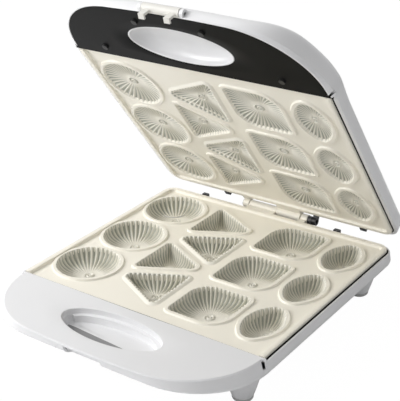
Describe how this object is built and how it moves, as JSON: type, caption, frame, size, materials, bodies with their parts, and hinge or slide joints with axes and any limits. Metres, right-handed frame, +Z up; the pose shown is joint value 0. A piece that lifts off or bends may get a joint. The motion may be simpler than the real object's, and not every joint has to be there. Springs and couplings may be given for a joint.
{
  "type": "cookie maker",
  "caption": "Countertop cookie maker with a hinged lid, two cream moulded cooking plates, finger dishes in both handles, a front latch clip and conical feet",
  "frame": {"origin": "on the surface that the cooker stands on, under the middle of its bounding box as it stands open", "axes": "+Z up; -Y towards the user, where the handles are; +Y towards the hinge; X along the hinge pin"},
  "size_m": [0.278, 0.3256, 0.308],
  "materials": {
    "white_shell": "moulded gloss white",
    "cream_coating": "cream ceramic non-stick coating on cast aluminium",
    "cream_plastic": "satin cream",
    "charcoal_panel": "satin charcoal",
    "black_plastic": "satin black",
    "grey_elbow": "dark grey",
    "grey_rubber": "matt pale grey",
    "zinc_screw": "zinc plated",
    "black_screw": "black oxide",
    "bare_steel": "bright steel",
    "element_sheath": "heat-darkened steel sheath",
    "ceramic_body": "unglazed ceramic",
    "red_lens": "clear red",
    "green_lens": "clear green"
  },
  "bodies": {
    "base": {"base_housing": "white_shell", "bottom_cover": "white_shell", "bottom_cover_screws": "zinc_screw", "rubber_feet": "grey_rubber", "base_handle_panel": "white_shell", "lower_plate": "cream_coating", "lower_element": "element_sheath", "lower_element_clips": "bare_steel", "lower_clip_screws": "zinc_screw", "lower_reflector": "bare_steel", "thermostat": "ceramic_body", "thermal_fuse": "bare_steel", "terminal_block": "ceramic_body", "cord_gland": "black_plastic", "hinge_pin": "bare_steel", "base_plate_clips": "black_plastic", "base_lead_elbow": "grey_elbow"},
    "lid": {"lid_housing": "white_shell", "lid_handle_panel": "charcoal_panel", "lid_panel_screws": "black_screw", "upper_plate": "cream_coating", "upper_element": "element_sheath", "upper_element_clips": "bare_steel", "upper_clip_screws": "zinc_screw", "upper_reflector": "bare_steel", "lid_plate_clips": "black_plastic", "lid_lead_elbow": "black_plastic", "power_lamp_lens": "red_lens", "ready_lamp_lens": "green_lens", "lamp_holder": "white_shell", "latch_pin": "bare_steel"},
    "latch": {"latch_clip": "cream_plastic"}
  },
  "joints": [
    {"name": "lid_hinge", "type": "hinge", "parent": "base", "child": "lid", "pos_m": [0, 0.15255, 0.04685], "axis": [-1, 0, 0], "range_deg": [-52.9, 50]},
    {"name": "latch_pivot", "type": "hinge", "parent": "lid", "child": "latch", "pos_m": [0, -0.03314, 0.30374], "axis": [-1, 0, 0], "range_deg": [-22.6, 60]}
  ]
}
